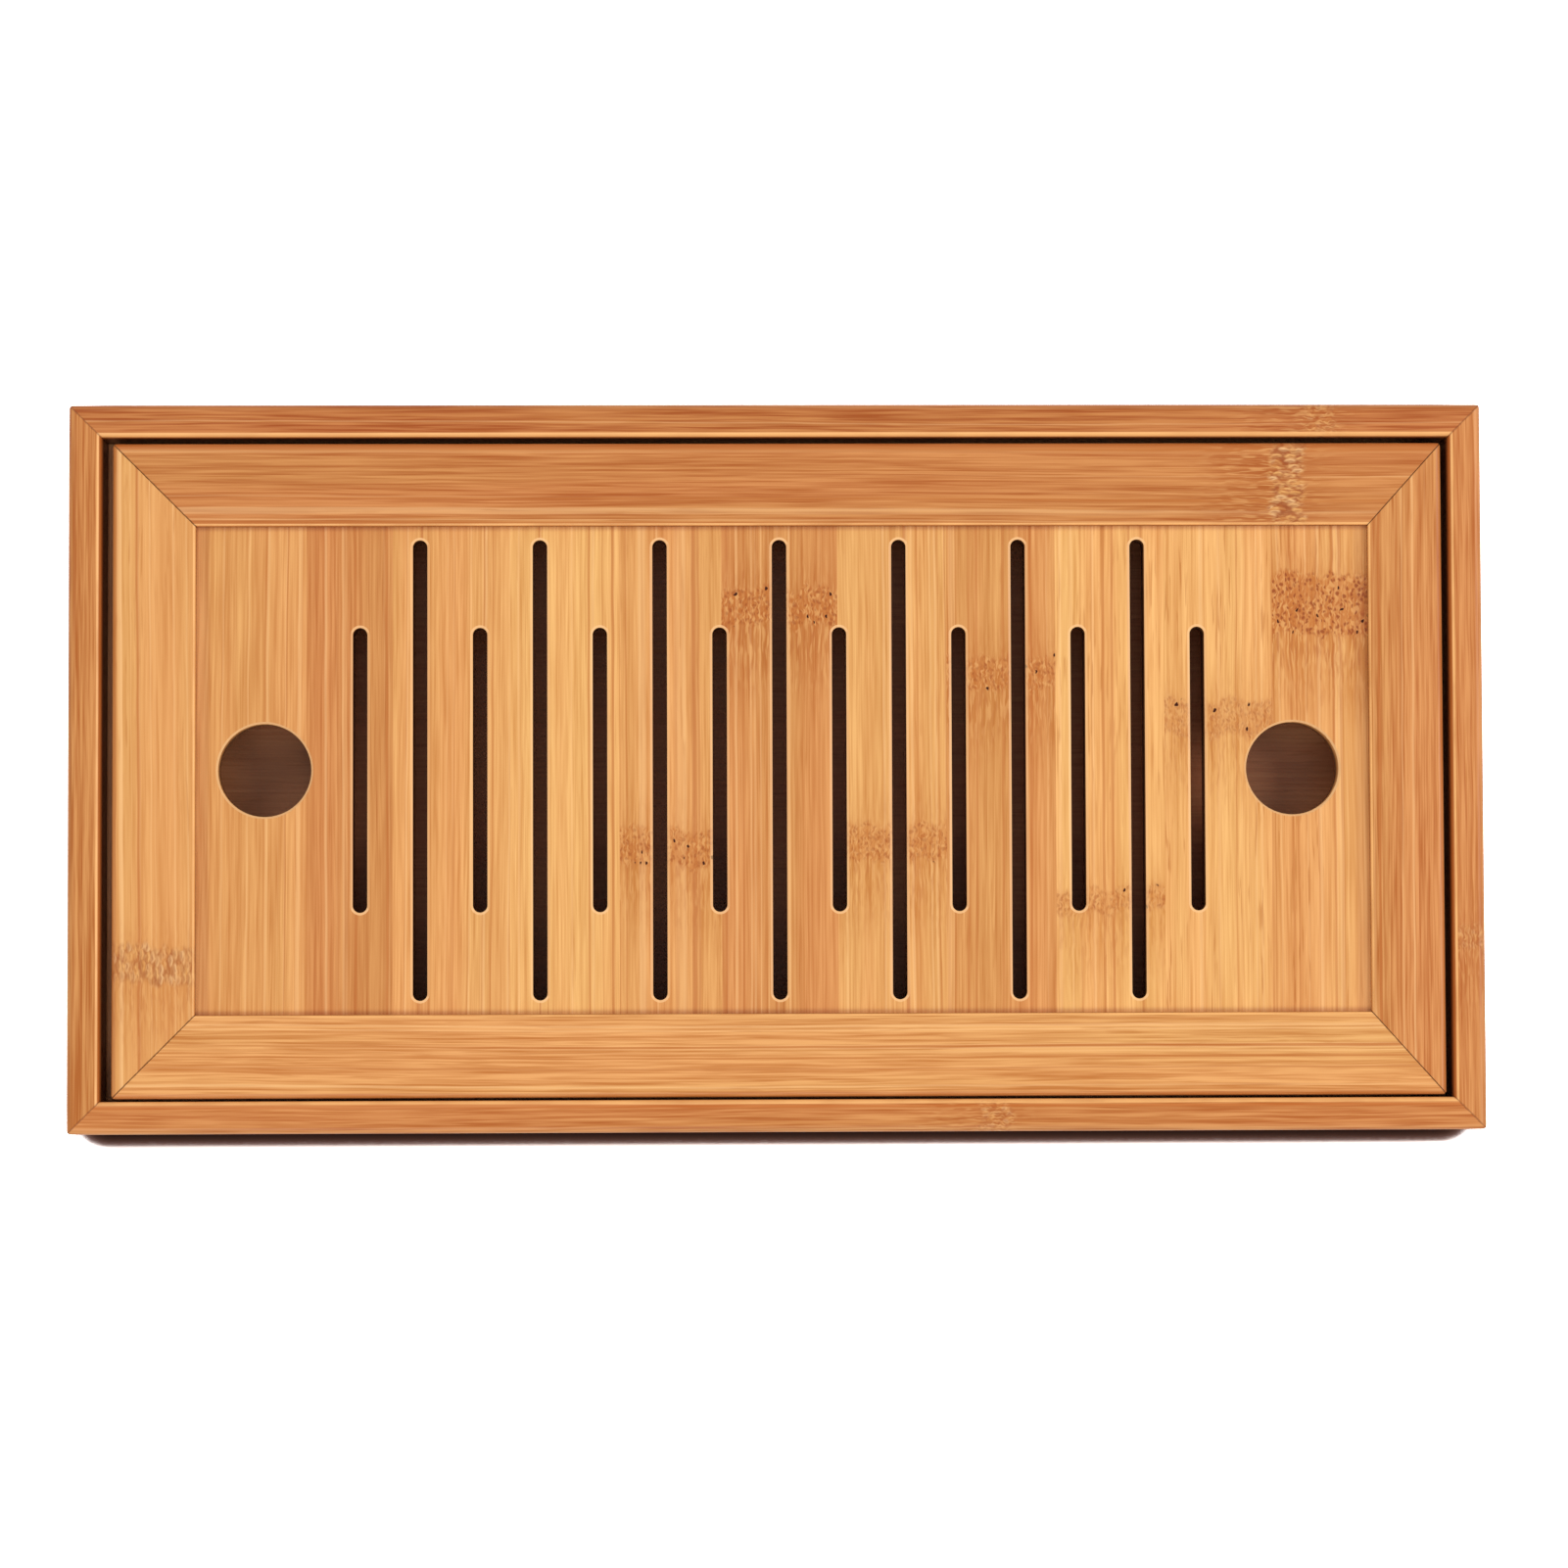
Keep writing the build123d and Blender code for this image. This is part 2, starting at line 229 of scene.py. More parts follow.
def bamboo_group():
    """Bamboo seen on any face. Its vector runs (along the grain, across it, up), in metres."""
    tree = bpy.data.node_groups.new("bamboo", "ShaderNodeTree")
    shares = ("Knuckle Strength", "Scales", "Streaks", "Dashes", "Lines")
    for way, kind, names in (
        ("INPUT", "Vector", ("Vector",)),
        ("INPUT", "Float", ("Seed", "Knuckle", "Knuckle Reach", *shares)),
        ("INPUT", "Color", ("Pale", "Deep")),
        ("OUTPUT", "Color", ("Color",)),
        ("OUTPUT", "Float", ("Roughness", "Height")),
    ):
        for name in names:
            tree.interface.new_socket(name, in_out=way, socket_type=f"NodeSocket{kind}")
    g = Graph(tree)
    given = g.add("NodeGroupInput").outputs
    place, seed, scales = given["Vector"], given["Seed"], given["Scales"]
    along, across, up = g.split(place)

    def grown(vector, pattern, detail=1.0):
        """A pattern from 0 to 1, different on every piece."""
        cells_along, cells_across, shift = pattern
        cells = (cells_along, cells_across, cells_across)
        return g.noise(vector, cells, g.math("ADD", seed, shift), detail)

    def strayed(pattern, reach, detail=1.0):
        """A pattern from minus its reach to plus its reach."""
        return g.between(grown(place, pattern, detail), -reach, reach)

    def shown(vector, pattern, edge, detail=1.0):
        """Where a pattern shows, from 0 to 1."""
        return g.smooth(grown(vector, pattern, detail), *edge)

    # Distance along the grain from the knuckle, then its band and its halo
    from_knuckle = g.math("SUBTRACT", along, given["Knuckle"])
    from_knuckle = g.math("ADD", from_knuckle, strayed(RAGGED, RAGGED_REACH, detail=3.0))
    beyond = g.math("SUBTRACT", g.math("ABSOLUTE", from_knuckle), given["Knuckle Reach"])
    band = g.smooth(beyond, -BAND_SOFT, BAND_SOFT, 1.0, 0.0)
    band = g.math("MULTIPLY", band, given["Knuckle Strength"])
    shorter = g.smooth(from_knuckle, -2 * BAND_SOFT, 2 * BAND_SOFT)
    shorter = g.math("MULTIPLY", shorter, HALO_SHORTER)
    halo = g.smooth(g.math("ADD", beyond, shorter), 0.0, HALO_REACH, 1.0, 0.0)
    halo = g.math("MULTIPLY", halo, given["Knuckle Strength"])

    # Fibres drift and sway a little over their length, and wander near the knuckle
    drift = g.math("ADD", strayed(DRIFT, DRIFT_REACH), strayed(SWAY, SWAY_REACH))
    drift = g.math("MULTIPLY_ADD", strayed(WANDER, WANDER_REACH), halo, drift)
    fibre = g.join(along, g.math("ADD", drift, across), up)

    # Streaks, and areas that are a little warmer or cooler
    bundles = [grown(fibre, pattern) for pattern, gain in STREAKS]
    middle, fine = bundles[2:]
    shade = PALE_MEAN
    for bundle, (pattern, gain) in zip(bundles, STREAKS):
        gain = g.math("MULTIPLY", given["Streaks"], gain)
        shade = g.math("MULTIPLY_ADD", g.math("SUBTRACT", bundle, NOISE_MEAN), gain, shade)
    shade = g.math("SUBTRACT", shade, g.math("MULTIPLY", halo, HALO_SHADE))
    shade = g.math("MINIMUM", g.math("MAXIMUM", shade, 0.0), 1.0)
    color = g.mix(shade, given["Deep"], given["Pale"])
    warmth = g.mix(shown(fibre, WARM_AREAS, WARM_EDGE), COOL, WARM)
    color = g.mix(1.0, color, warmth, "MULTIPLY")

    # Thin lines and vessels
    for pattern, tint, strength in THIN_LINES:
        line = g.math("MULTIPLY", shown(fibre, pattern, LINE_EDGE, detail=0.0), given["Lines"])
        color = g.mix(g.math("MULTIPLY", line, strength), color, tint)
    dash = shown(fibre, VESSELS, VESSEL_EDGE)
    dash = g.math("MULTIPLY", dash, shown(fibre, VESSEL_AREAS, VESSEL_AREA_EDGE))
    color = g.mix(g.math("MULTIPLY", dash, given["Dashes"]), color, VESSEL_BROWN)

    # Broken fibres in the halo, and curled ones in the band
    curl = g.math("MULTIPLY", strayed(CURL, CURL_REACH), g.between(scales, 1.0, CALM_CURL))
    curled_across = g.math("ADD", across, curl)
    curled = g.join(along, curled_across, up)
    for vector, where, fibres in ((fibre, halo, HALO_FIBRES), (curled, band, BAND_FIBRES)):
        for pattern, tint, strength in fibres:
            broken = g.math("MULTIPLY", shown(vector, pattern, BROKEN_EDGE), where)
            color = g.mix(g.math("MULTIPLY", broken, strength), color, tint)

    # Cells for the bundles that are seen end on, each with three chances of its own
    spread = g.join(g.math("ADD", along, seed), g.math("ADD", curled_across, up))
    cells = [g.between(scales, *ends) for ends in zip(DOT_CELLS, SCALE_CELLS)]
    spread = g.vector("MULTIPLY", spread, g.join(*cells))
    cell = g.cells(spread)
    from_middle = cell["Distance"]
    chance = g.fill(g.add("ShaderNodeSeparateColor"), cell["Color"]).outputs

    # Most are reddish dots
    radius = g.between(chance[1], *DOT_RADII)
    dot = g.smooth(g.math("SUBTRACT", from_middle, radius), *DOT_EDGE, 1.0, 0.0)
    dot = g.math("MULTIPLY", g.math("MULTIPLY", dot, band), g.smooth(chance[2], *DOT_CHANCES))
    dot = g.math("MULTIPLY", dot, given["Knuckle Strength"])
    browned = g.math("MULTIPLY", band, g.between(scales, DOT_BAND, SCALE_BAND))
    color = g.mix(browned, color, BAND_BROWN)
    color = g.mix(g.math("MULTIPLY", dot, DOT_SHARE), color, DOT_BROWN)

    # On rails and walls they are partly or wholly pale scales, each with a painted shade on its underside
    lower = g.cells(g.vector("ADD", spread, LOWER_POINT))["Distance"]
    shaded_underside = g.smooth(g.math("SUBTRACT", lower, from_middle), *UNDERSIDE_SHADE_EDGE)
    scale = g.mix(chance[2], OCHRE_SCALE, CREAM_SCALE)
    scale = g.mix(g.smooth(from_middle, *RIM_EDGE), scale, SCALE_RIM)
    scale = g.mix(g.math("MULTIPLY", shaded_underside, UNDERSIDE_SHADE_SHARE), scale, SCALE_UNDERSIDE_SHADE)
    scaly = g.math("MULTIPLY", g.math("MULTIPLY", band, scales), SCALE_SHARE)
    clear = g.smooth(chance[1], 0.0, SCALE_CHANCE, FAINTEST_SCALE, 1.0)
    color = g.mix(g.math("MULTIPLY", scaly, clear), color, scale)

    # A few are open, as dark pores, where there are few scales or none
    pore = g.smooth(from_middle, *PORE_EDGE, 1.0, 0.0)
    pore = g.math("MULTIPLY", pore, g.smooth(band, *PORE_BAND))
    pore = g.math("MULTIPLY", pore, g.math("GREATER_THAN", chance[0], PORE_CHANCE))
    pore = g.math("MULTIPLY", pore, g.math("LESS_THAN", scales, PORE_SCALES))
    color = g.mix(pore, color, PORE_BROWN)

    roughness = g.math("MAXIMUM", g.between(fine, SMOOTHEST, ROUGHEST), pore)
    height = g.math("MULTIPLY_ADD", middle, MIDDLE_HEIGHT, g.math("MULTIPLY", fine, FINE_HEIGHT))
    height = g.math("SUBTRACT", height, g.math("MULTIPLY", dot, DOT_DEPTH))
    g.fill(g.add("NodeGroupOutput"), color, roughness, height)
    return tree


bamboo = bamboo_group()

# Places taken from the frame
rim_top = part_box("front_wall")[1][2]
deck_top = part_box("deck_front_rail")[1][2]
panel_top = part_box("deck_strip_06")[1][2]
inner_half = -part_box("left_ledge")[0][0], -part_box("front_ledge")[0][1]
panel_spans = [
    ((low + high) / 2, (high - low) / 2)
    for low, high in (
        (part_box("deck_left_rail")[1][0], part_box("deck_right_rail")[0][0]),
        (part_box("deck_front_rail")[1][1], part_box("deck_back_rail")[0][1]),
    )
]


def outline(left, right, front, back, slope=1.0):
    """The plan edges of a frame of four pieces, with the slope of its right mitres."""
    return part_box(left)[0][0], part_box(right)[1][0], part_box(front)[0][1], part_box(back)[1][1], slope


def width(piece, axis):
    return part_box(piece)[1][axis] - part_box(piece)[0][axis]


rail_slope = width("deck_back_rail", 1) / width("deck_right_rail", 0)
rail_mitres = outline(
    "deck_left_rail", "deck_right_rail", "deck_front_rail", "deck_back_rail", rail_slope
)
wall_mitres = outline("left_wall", "right_wall", "front_wall", "back_wall")

# Painted shade on the upright faces inside a box round the tray's middle, in the slots, holes and
# gaps: the height where it begins, the height over which it deepens, the share of the colour that
# it keeps, and the box's half length and half width
slot_walls = (panel_top - 0.0002, 0.0005, 0.22, 0.110, 0.080)
hole_walls = (panel_top - 0.0018, 0.0035, 0.18, 0.150, 0.080)
rail_sides = (deck_top - 0.0016, 0.0020, 0.65, *inner_half)
wall_insides = (rim_top - 0.0015, 0.0045, 0.24, *(half + 0.0003 for half in inner_half))

# The painted shade's tint in what red, green and blue keep, and which faces are upright: the
# upward part of their normal where the shade starts to fade and where it ends
RECESS_SHADE_TINT, UPRIGHT = (1.0, 0.75, 0.64), (0.3, 0.7)

# The pool on the floor under the slots, a tea stain that also paints the shade seen through them:
# its half length and width, how far its edge strays and how softly it ends, the edge's cells and seed,
# and what it keeps of the colour on either axis
POOL_HALVES, POOL_STRAY, POOL_SOFT = (0.1165, 0.0740), 0.004, 0.0035
POOL_CELLS, POOL_SEED, POOL_KEPT = (60.0, 60.0, 0.0), 7.0, (0.681, 0.593, 0.563)

# A face's tilt is the upward part of its normal, which is less on rounds and chamfers than on a
# flat top. A painted highlight lightens them from a least tilt up, in patches between two strengths
ROUNDED, HIGHLIGHT_START, HIGHLIGHT_SOFT = (0.955, 0.99), 0.40, 0.15
PATCH_CELLS, PATCH_EDGE, PATCHES = (60.0, 60.0, 60.0), (0.30, 0.65), (0.40, 0.85)
HIGHLIGHT_COLOR = srgb(255, 192, 120)

# The least tilt given the painted highlight on the side walls and on the long ones, and the back wall's
# patches
SIDE_HIGHLIGHT_START, LONG_HIGHLIGHT_START, BACK_PATCHES = 0.70, 0.15, (0.7, 0.9)

# The panel's painted edge highlight: colour, patches, its share at slot ends and holes, and that on
# a slot's long sides, whose chamfers are told by the X part of their normal and by a least tilt
PANEL_HIGHLIGHT_COLOR, PANEL_PATCHES = srgb(255, 202, 142), (0.8, 0.9)
END_HIGHLIGHT, SIDE_HIGHLIGHT, SIDE_FACING, SIDE_TILT = 0.80, 0.45, (0.28, 0.31), 0.9

# Painted shade where the panel meets the rails, along X and along Y: how far from the rail it
# starts and is full, and its share
PANEL_END_SHADES = ((0.0040, 0.0025, 0.5), (0.0016, 0.0002, 0.8))
PANEL_END_SHADE_KEPT = (0.72, 0.62, 0.66)

# Painted shade on a rail's outer rounds and on a side wall's steep inner faces: tilt, share, colour
RAIL_SHADE_TILT, RAIL_SHADE_SHARE, RAIL_SHADE = (0.05, 0.20), 0.4, srgb(180, 98, 44)
WALL_SHADE_TILT, WALL_SHADE_SHARE, WALL_SHADE = (0.65, 0.85), 0.7, srgb(176, 90, 30)

# The orange line on the front wall: its distance from the gap at two places along X, over what
# it deepens, the distances where it starts to fade and where it ends, its share and its colour
LINE_PLACES, LINE_STARTS = (-0.080, 0.010), (0.0006, 0.0011)
LINE_RISE, LINE_FADE, LINE_SHARE, LINE_ORANGE = 0.0004, (0.0016, 0.0022), 0.6, srgb(194, 102, 34)

# Glue along the mitres: the noise that makes its half width, how much that varies and what is
# taken from it, how softly the glue ends, its share and its colour
GLUE_CELLS, GLUE_VARIES, GLUE_LESS = (900.0, 900.0, 0.0), 0.0006, 0.0001
GLUE_EDGE, GLUE_SHARE, GLUE_BROWN = (-0.0001, 0.0002), 0.5, srgb(124, 62, 24)


class Surface(Graph):
    """A bamboo piece's graph, with where a point lies, which way it faces and how it is edged."""

    def __init__(self, tree, seed):
        super().__init__(tree)
        self.seed = seed
        coordinates = self.add("ShaderNodeTexCoord").outputs
        self.place = coordinates["Object"]
        self.x, self.y, self.z = self.split(self.place)
        self.side_x, self.side_y, self.tilt = self.split(coordinates["Normal"])
        self.rounded = self.smooth(self.tilt, *ROUNDED, 1.0, 0.0)
        outward = self.math("MULTIPLY", self.side_y, self.y)
        outward = self.math("MULTIPLY_ADD", self.side_x, self.x, outward)
        self.inward = self.math("LESS_THAN", outward, 0.0)

    def paint_highlight(self, color, where, start=HIGHLIGHT_START, patches=PATCHES, highlight_color=HIGHLIGHT_COLOR):
        """A painted highlight on rounds and chamfers, in patches."""
        highlighted = self.smooth(self.tilt, start, start + HIGHLIGHT_SOFT)
        highlighted = self.math("MULTIPLY", self.rounded, highlighted)
        patchy = self.noise(self.place, PATCH_CELLS, self.seed, detail=3.0)
        patchy = self.smooth(patchy, *PATCH_EDGE, *patches)
        share = self.math("MULTIPLY", self.math("MULTIPLY", highlighted, where), patchy)
        return self.mix(share, color, highlight_color)


def panel_finish(s, color):
    """Painted highlight on slot and hole edges, and painted shade where the panel meets the rails."""
    # Painted highlight on the slot and hole edges, less on a slot's long sides
    long_side = s.smooth(s.math("ABSOLUTE", s.side_x), *SIDE_FACING)
    long_side = s.math("MULTIPLY", long_side, s.math("GREATER_THAN", s.tilt, SIDE_TILT))
    where = s.between(long_side, END_HIGHLIGHT, SIDE_HIGHLIGHT)
    color = s.paint_highlight(color, where, patches=PANEL_PATCHES, highlight_color=PANEL_HIGHLIGHT_COLOR)
    # Painted shade where the panel meets the rails
    for axis, (middle, half), (start, full, share) in zip((s.x, s.y), panel_spans, PANEL_END_SHADES):
        end = s.math("SUBTRACT", s.math("ABSOLUTE", s.math("SUBTRACT", axis, middle)), half)
        browned = s.math("MULTIPLY", s.smooth(end, -start, -full), share)
        color = s.darken(browned, color, PANEL_END_SHADE_KEPT)
    return color


def rail_finish(s, color):
    """Painted shade on the outer rounds, and a painted highlight on the inner ones."""
    # Painted shade on the outer rounds, by their tilt
    shaded_round = s.math("MULTIPLY", s.rounded, s.math("SUBTRACT", 1.0, s.inward))
    shaded_round = s.math("MULTIPLY", shaded_round, s.smooth(s.tilt, *RAIL_SHADE_TILT))
    color = s.mix(s.math("MULTIPLY", shaded_round, RAIL_SHADE_SHARE), color, RAIL_SHADE)
    return s.paint_highlight(color, s.inward)


def side_wall_finish(s, color):
    """Painted shade on the steep inner faces and rounds, with a painted highlight above them."""
    # Painted shade on the steep inner faces, by their tilt
    shaded_round = s.math("MULTIPLY", s.smooth(s.tilt, *WALL_SHADE_TILT, 1.0, 0.0), s.inward)
    color = s.mix(s.math("MULTIPLY", shaded_round, WALL_SHADE_SHARE), color, WALL_SHADE)
    return s.paint_highlight(color, s.inward, SIDE_HIGHLIGHT_START)


def back_wall_finish(s, color):
    """A painted highlight on the inner edge."""
    return s.paint_highlight(color, s.inward, LONG_HIGHLIGHT_START, BACK_PATCHES)


def front_wall_finish(s, color):
    """A painted highlight on the inner edge, with an orange line beside it."""
    color = s.paint_highlight(color, s.inward, LONG_HIGHLIGHT_START)
    from_gap = s.math("SUBTRACT", -inner_half[1], s.y)
    line = s.math("SUBTRACT", from_gap, s.smooth(s.x, *LINE_PLACES, *LINE_STARTS))
    line = s.smooth(s.math("DIVIDE", line, LINE_RISE), 0.0, 1.0)
    line = s.math("MULTIPLY", line, s.smooth(from_gap, *LINE_FADE, 1.0, 0.0))
    return s.mix(s.math("MULTIPLY", line, LINE_SHARE), color, LINE_ORANGE)


def floor_finish(s, color):
    """A painted highlight on the rounds, and a pool under the slots: tea stain and painted shade."""
    color = s.paint_highlight(color, s.inward)
    # Darker under the slots: tea stain and painted shade for the slots
    edge = s.between(s.noise(s.place, POOL_CELLS, POOL_SEED), -POOL_STRAY, POOL_STRAY)
    for axis, half in zip((s.x, s.y), POOL_HALVES):
        pool = s.math("SUBTRACT", s.math("ABSOLUTE", axis), edge)
        pool = s.smooth(pool, half - POOL_SOFT, half + POOL_SOFT, 1.0, 0.0)
        color = s.darken(pool, color, POOL_KEPT)
    return color


def glue_lines(s, color, left, right, front, back, slope):
    """Glue that comes and goes along the mitres of an outline."""
    from_right = s.math("MULTIPLY", s.math("SUBTRACT", right, s.x), slope)
    from_end = s.math("MINIMUM", s.math("SUBTRACT", s.x, left), from_right)
    from_side = s.math("MINIMUM", s.math("SUBTRACT", s.y, front), s.math("SUBTRACT", back, s.y))
    seam = s.math("ABSOLUTE", s.math("SUBTRACT", from_end, from_side))
    half_width = s.noise(s.place, GLUE_CELLS, s.seed)
    half_width = s.math("MULTIPLY_ADD", half_width, GLUE_VARIES, -GLUE_LESS)
    seam = s.smooth(s.math("SUBTRACT", seam, half_width), *GLUE_EDGE, GLUE_SHARE, 0.0)
    return s.mix(seam, color, GLUE_BROWN)


def paint_recess_shade(s, color, top, fade, kept, *halves):
    """Painted shade on the upright faces inside a box, deepening below its top."""
    recess_shade = s.smooth(s.math("ABSOLUTE", s.tilt), *UPRIGHT, 1.0, 0.0)
    recess_shade = s.math("MULTIPLY", recess_shade, s.smooth(s.z, top - fade, top, 1.0, 0.0))
    for axis, half in zip((s.x, s.y), halves):
        recess_shade = s.math("MULTIPLY", recess_shade, s.math("LESS_THAN", s.math("ABSOLUTE", axis), half))
    return s.darken(recess_shade, color, [kept * channel for channel in RECESS_SHADE_TINT])


# Most tones lie between russet and straw, or just beyond. Pale fibres are this much lighter
# than a piece's tone and deep ones this much darker, in 0 to 255 screen values
RUSSET, STRAW = (187, 109, 54), (235, 173, 105)
LIGHTER, DARKER = (13, 15, 13), (26, 35, 36)

# A knuckle: its place along the grain, its reach to either side, its strength and its scales
NO_KNUCKLE = (0.0, 0.0, 0.0, 0.0)

# Relief of the wood and its depth, and how glossy the varnish is. Then the depth for rubber and
# steel, and how much their roughness varies
WOOD_BUMP, WOOD_DEPTH, WOOD_SPECULAR = 0.3, 0.00025, 0.3
PLAIN_DEPTH, PLAIN_VARIES = 0.0001, 0.25

# Seeds, so that no two pieces share their grain: the first of a kind, and the step to the next
SEEDS = {
    "strip": (0.0, 3.7),
    "rail": (60.0, 5.3),
    "wall": (90.0, 5.3),
    "floor": (120.0, 4.1),
    "ledge": (160.0, 6.7),
    "tongue": (190.0, 0.0),
}


def seed_of(kind, number=0):
    first, step = SEEDS[kind]
    return first + step * number


def toned(share):
    """The tone at a share of the way from russet to straw."""
    return [low + share * (high - low) for low, high in zip(RUSSET, STRAW)]


def wood(
    name, grain, tone, seed, knuckle=NO_KNUCKLE, streaks=1.0, dashes=0.3, lines=0.5,
    finish=None, mitres=None, recess_shades=(),
):
    """Varnished bamboo with its grain along "X" or "Y".

    finish adds the painted highlights and shades on the piece's edges, or the floor's pool, mitres is
    the outline whose mitres show glue, and the last argument lists painted shades on upright faces.
    """
    material = empty_material(name)
    s = Surface(material.node_tree, seed)
    group = s.add("ShaderNodeGroup", node_tree=bamboo)
    place, reach, strength, scales = knuckle
    for key, value in {
        "Vector": s.join(s.x, s.y, s.z) if grain == "X" else s.join(s.y, s.x, s.z),
        "Seed": seed,
        "Knuckle": place,
        "Knuckle Reach": reach,
        "Knuckle Strength": strength,
        "Scales": scales,
        "Streaks": streaks,
        "Dashes": dashes,
        "Lines": lines,
        "Pale": srgb(*(value + more for value, more in zip(tone, LIGHTER))),
        "Deep": srgb(*(value - less for value, less in zip(tone, DARKER))),
    }.items():
        s.feed(group.inputs[key], value)
    color, roughness, height = group.outputs
    if finish:
        color = finish(s, color)
    if mitres:
        color = glue_lines(s, color, *mitres)
    # Painted shade in the slots, holes and gaps
    for recess_shade in recess_shades:
        color = paint_recess_shade(s, color, *recess_shade)
    s.principled(
        color, roughness, height, WOOD_BUMP, WOOD_DEPTH, Specular_IOR_Level=WOOD_SPECULAR
    )
    return material


def plain(name, tones, cells, smoothest, metallic, bump):
    """Rubber or steel: two close tones in a fine noise, which also makes roughness and relief."""
    material = empty_material(name)
    g = Graph(material.node_tree)
    place = g.add("ShaderNodeTexCoord").outputs["Object"]
    grain = g.noise(place, (cells, cells, cells), seed=1.0, detail=3.0)
    roughness = g.math("MULTIPLY_ADD", grain, PLAIN_VARIES, smoothest)
    g.principled(g.mix(grain, *tones), roughness, grain, bump, PLAIN_DEPTH, Metallic=metallic)
    return material


def dress(node, material):
    mesh = nodes[node].data
    mesh.materials.clear()
    mesh.materials.append(material)


# Panel strips from left to right: tone, knuckle, dashes
strips = [
    (0.72, NO_KNUCKLE, 0.10),
    (0.41, NO_KNUCKLE, 0.10),
    (0.82, NO_KNUCKLE, 0.10),
    (1.00, NO_KNUCKLE, 0.15),
    (0.78, (-0.0196, 0.0045, 0.7, 0.0), 0.25),
    (0.54, (0.0395, 0.0045, 0.8, 0.0), 0.30),
    (0.85, (-0.0184, 0.0045, 0.7, 0.0), 0.25),
    (0.65, (0.0234, 0.0040, 0.7, 0.0), 0.30),
    (1.05, (-0.0329, 0.0030, 0.6, 0.0), 0.40),
    (0.98, (0.0121, 0.0045, 0.6, 0.2), 0.60),
    (0.84, (0.0403, 0.0075, 1.0, 0.0), 0.60),
]
for number, (tone, knuckle, dashes) in enumerate(strips, start=1):
    name = f"deck_strip_{number:02d}"
    dress(name, wood(
        name, "Y", toned(tone), seed_of("strip", number), knuckle, streaks=0.7, dashes=dashes,
        lines=0.45, finish=panel_finish, recess_shades=[slot_walls, hole_walls],
    ))

# Deck rails: grain, tone, knuckle, streaks
rails = {
    "deck_front_rail": ("X", 0.72, NO_KNUCKLE, 1.15),
    "deck_back_rail": ("X", 0.27, (0.1273, 0.0040, 0.8, 1.0), 1.0),
    "deck_left_rail": ("Y", 0.84, (-0.0487, 0.0045, 0.6, 1.0), 0.5),
    "deck_right_rail": ("Y", 0.42, NO_KNUCKLE, 1.2),
}
for number, (name, (grain, tone, knuckle, streaks)) in enumerate(rails.items()):
    dress(name, wood(
        name, grain, toned(tone), seed_of("rail", number), knuckle, streaks,
        finish=rail_finish, mitres=rail_mitres, recess_shades=[rail_sides],
    ))

# Walls: grain, tone, knuckle, streaks, finish
walls = {
    "front_wall": ("X", 0.37, (0.0530, 0.0040, 0.6, 0.5), 1.3, front_wall_finish),
    "back_wall": ("X", 0.06, (0.1358, 0.0040, 0.6, 0.3), 1.3, back_wall_finish),
    "left_wall": ("Y", 0.38, NO_KNUCKLE, 1.2, side_wall_finish),
    "right_wall": ("Y", 0.40, (-0.0430, 0.0030, 0.5, 0.5), 1.0, side_wall_finish),
}
for number, (name, (grain, tone, knuckle, streaks, finish)) in enumerate(walls.items()):
    dress(name, wood(
        name, grain, toned(tone), seed_of("wall", number), knuckle, streaks, lines=0.3,
        finish=finish, mitres=wall_mitres, recess_shades=[wall_insides],
    ))

# Floor strips, faded, most of them a little lighter or darker
FADED = (228, 160, 112)
for number, shift in enumerate((2, -5, 4, 0, -4, 5, -2), start=1):
    name = f"floor_strip_{number}"
    tone = [value + shift for value in FADED]
    dress(name, wood(
        name, "X", tone, seed_of("floor", number), streaks=0.5, lines=0.1, finish=floor_finish
    ))

# Ledges, greyed by water: grain
GREYED = (206, 142, 98)
ledges = {"front_ledge": "X", "right_ledge": "Y", "back_ledge": "X", "left_ledge": "Y"}
for number, (name, grain) in enumerate(ledges.items()):
    dress(name, wood(name, grain, GREYED, seed_of("ledge", number), streaks=0.8))

# Hidden tongues, feet and screws
tongue_wood = wood("mitre_key", "X", toned(0.8), seed_of("tongue"))
rubber = plain(
    "foot_rubber", (srgb(30, 29, 28), srgb(44, 43, 42)),
    cells=900.0, smoothest=0.6, metallic=0.0, bump=0.4,
)
steel = plain(
    "screw_steel", (srgb(176, 176, 178), srgb(206, 206, 208)),
    cells=1400.0, smoothest=0.22, metallic=1.0, bump=0.2,
)
for corner in ("front_left", "front_right", "back_left", "back_right"):
    dress(f"{corner}_mitre_key", tongue_wood)
    dress(f"{corner}_foot", rubber)
dress("foot_screws", steel)


def white_rays(g):
    """Rays that see a white background: the camera's, and those that gloss or glass turns."""
    rays = g.add("ShaderNodeLightPath").outputs
    turned = g.math("MAXIMUM", rays["Is Glossy Ray"], rays["Is Transmission Ray"])
    return rays["Is Camera Ray"], turned


